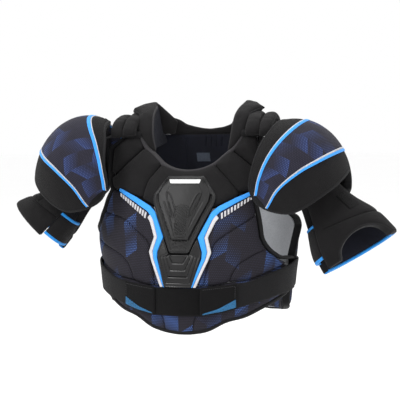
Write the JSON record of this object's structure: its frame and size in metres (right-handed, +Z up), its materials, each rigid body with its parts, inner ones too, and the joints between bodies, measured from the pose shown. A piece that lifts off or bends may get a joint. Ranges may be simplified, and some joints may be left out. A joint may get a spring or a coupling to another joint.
{
  "type": "hockey shoulder pads",
  "caption": "Padded hockey shoulder and chest protector with moulded sternum plate, domed shoulder caps, upper arm guards, back panel and hook-and-loop belt.",
  "frame": {"origin": "middle of the seat that rests on the wearer's shoulders, at the base of the neck", "axes": "+Z up, +X to the wearer's left, -Y to the wearer's front"},
  "size_m": [0.6787, 0.2826, 0.381],
  "materials": {
    "body_fabric": "black woven polyester, matt",
    "patterned_mesh": "near-black knitted mesh with a small navy triangle print",
    "liner_fabric": "light grey brushed liner",
    "neck_fabric": "dark navy smooth knit",
    "binding_blue": "bright blue edge tape",
    "moulded_plastic": "charcoal satin, fine woven texture",
    "white_rubber": "white moulded rubber badge, blank",
    "hook_loop": "black hook-and-loop pile",
    "elastic": "black ribbed elastic webbing",
    "foam": "closed-cell foam, charcoal",
    "label_cloth": "grey-blue printed label, blank",
    "cap_shell_plastic": "moulded polyethylene sheet"
  },
  "bodies": {
    "front": {"front_liner": "liner_fabric", "sternum_pad": "body_fabric", "upper_chest_pad_middle": "body_fabric", "belly_pad": "patterned_mesh", "sternum_upper_plate": "moulded_plastic", "sternum_lower_plate": "moulded_plastic", "sternum_crest": "moulded_plastic", "badge_plate": "white_rubber", "front_loop_landing": "hook_loop", "chest_pad_left": "patterned_mesh", "upper_chest_pad_left": "body_fabric", "shoulder_front_pad_left": "body_fabric", "accent_trim_left": "binding_blue", "yoke_left": "foam", "neck_collar_left": "body_fabric", "collar_rear_left": "neck_fabric", "shoulder_roll_inner_left": "body_fabric", "shoulder_roll_outer_left": "body_fabric", "shoulder_web_left": "elastic", "chest_pad_right": "patterned_mesh", "upper_chest_pad_right": "body_fabric", "shoulder_front_pad_right": "body_fabric", "accent_trim_right": "binding_blue", "yoke_right": "foam", "neck_collar_right": "body_fabric", "collar_rear_right": "neck_fabric", "shoulder_roll_inner_right": "body_fabric", "shoulder_roll_outer_right": "body_fabric", "shoulder_web_right": "elastic"},
    "back": {"back_liner": "liner_fabric", "back_panel": "patterned_mesh", "back_collar": "neck_fabric", "spine_pad": "body_fabric", "size_label": "label_cloth", "belt_rear_left": "elastic", "belt_rear_right": "elastic"},
    "belt_left": {"belt_band_left": "elastic", "belt_tab_left": "body_fabric", "belt_hook_left": "hook_loop"},
    "cap_left": {"cap_cover_left": "body_fabric", "cap_shell_left": "cap_shell_plastic", "cap_liner_left": "foam"},
    "arm_left": {"arm_guard_left": "body_fabric", "arm_lining_left": "liner_fabric", "arm_loop_patch_left": "hook_loop", "arm_hanger_left": "elastic"},
    "strap_left": {"arm_strap_left": "elastic"},
    "belt_right": {"belt_band_right": "elastic", "belt_tab_right": "body_fabric", "belt_hook_right": "hook_loop"},
    "cap_right": {"cap_cover_right": "body_fabric", "cap_shell_right": "cap_shell_plastic", "cap_liner_right": "foam"},
    "arm_right": {"arm_guard_right": "body_fabric", "arm_lining_right": "liner_fabric", "arm_loop_patch_right": "hook_loop", "arm_hanger_right": "elastic"},
    "strap_right": {"arm_strap_right": "elastic"}
  },
  "joints": [
    {"name": "back_swing", "type": "hinge", "parent": "front", "child": "back", "pos_m": [0, 0.05, 0.02], "axis": [1, 0, 0], "range_deg": [0, 35]},
    {"name": "belt_open_left", "type": "hinge", "parent": "front", "child": "belt_left", "pos_m": [0.181, 0, -0.23], "axis": [0, 0, 1], "range_deg": [0, 45]},
    {"name": "cap_lift_left", "type": "hinge", "parent": "front", "child": "cap_left", "pos_m": [0.128, 0, 0.02], "axis": [0, -1, 0], "range_deg": [0, 40]},
    {"name": "arm_swing_left", "type": "hinge", "parent": "front", "child": "arm_left", "pos_m": [0.18, -0.008, -0.028], "axis": [1, 0, 0], "range_deg": [-8, 5]},
    {"name": "strap_open_left", "type": "hinge", "parent": "arm_left", "child": "strap_left", "pos_m": [0.20326, -0.02977, -0.15681], "axis": [0.3852, -0.1691, -0.9072], "range_deg": [0, 35]},
    {"name": "belt_open_right", "type": "hinge", "parent": "front", "child": "belt_right", "pos_m": [-0.181, 0, -0.23], "axis": [0, 0, -1], "range_deg": [0, 45]},
    {"name": "cap_lift_right", "type": "hinge", "parent": "front", "child": "cap_right", "pos_m": [-0.128, 0, 0.02], "axis": [0, 1, 0], "range_deg": [0, 40]},
    {"name": "arm_swing_right", "type": "hinge", "parent": "front", "child": "arm_right", "pos_m": [-0.18, -0.008, -0.044], "axis": [1, 0, 0], "range_deg": [-8, 5]},
    {"name": "strap_open_right", "type": "hinge", "parent": "arm_right", "child": "strap_right", "pos_m": [-0.20709, -0.0255, -0.14934], "axis": [0.5294, 0.1444, 0.836], "range_deg": [0, 35]}
  ]
}
